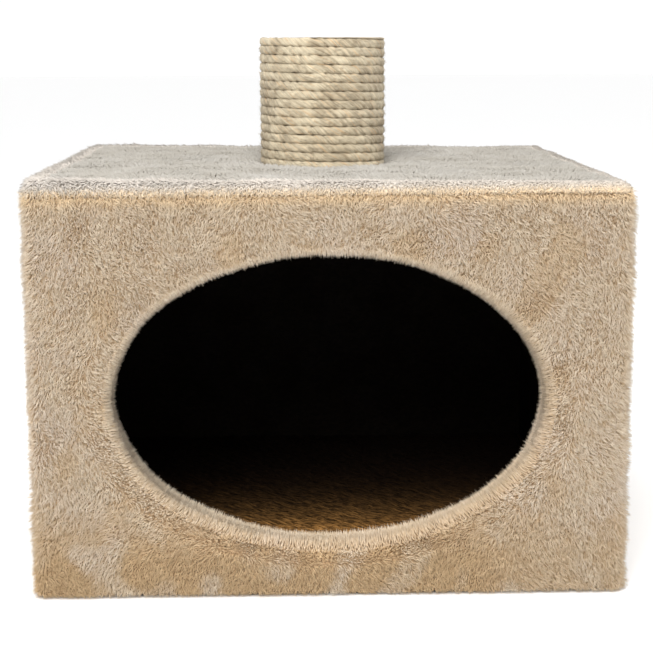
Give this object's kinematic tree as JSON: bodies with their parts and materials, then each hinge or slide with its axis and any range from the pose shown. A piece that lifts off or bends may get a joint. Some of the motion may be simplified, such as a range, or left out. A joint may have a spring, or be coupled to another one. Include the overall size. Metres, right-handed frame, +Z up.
{
  "type": "cat tree base",
  "caption": "Plush-covered cat cave with an oval doorway and a short sisal-wrapped scratching post standing on top.",
  "frame": {"origin": "centre of the underside, on the surface the part stands on", "axes": "+Z up along the post, the doorway faces -Y, +X to the right of someone facing the doorway"},
  "size_m": [0.376, 0.36, 0.351],
  "materials": {
    "chipboard": "raw particle board",
    "plush": "short beige faux-fur plush",
    "floor_plush": "short tan-brown plush",
    "felt": "thin charcoal needle felt",
    "cardboard": "wound brown board",
    "plug_wood": "sanded pine",
    "sisal": "unoiled three-strand sisal",
    "zinc_steel": "zinc plated",
    "staple_wire": "galvanised wire"
  },
  "bodies": {
    "root": {"base_board": "chipboard", "front_panel": "chipboard", "back_panel": "chipboard", "left_panel": "chipboard", "right_panel": "chipboard", "top_board": "chipboard", "front_cover": "plush", "back_cover": "plush", "left_cover": "plush", "right_cover": "plush", "top_cover": "plush", "floor_cover": "floor_plush", "underside_felt": "felt", "post_tube": "cardboard", "bottom_plug": "plug_wood", "top_plug": "plug_wood", "sisal_rope": "sisal", "front_panel_screws": "zinc_steel", "back_panel_screws": "zinc_steel", "base_screws": "zinc_steel", "top_board_screws": "zinc_steel", "post_bolt": "zinc_steel", "post_washer": "zinc_steel", "bottom_insert": "zinc_steel", "top_insert": "zinc_steel", "hem_staples": "staple_wire", "lip_staples": "staple_wire", "plug_staples": "staple_wire", "rope_staples": "staple_wire"}
  },
  "joints": []
}
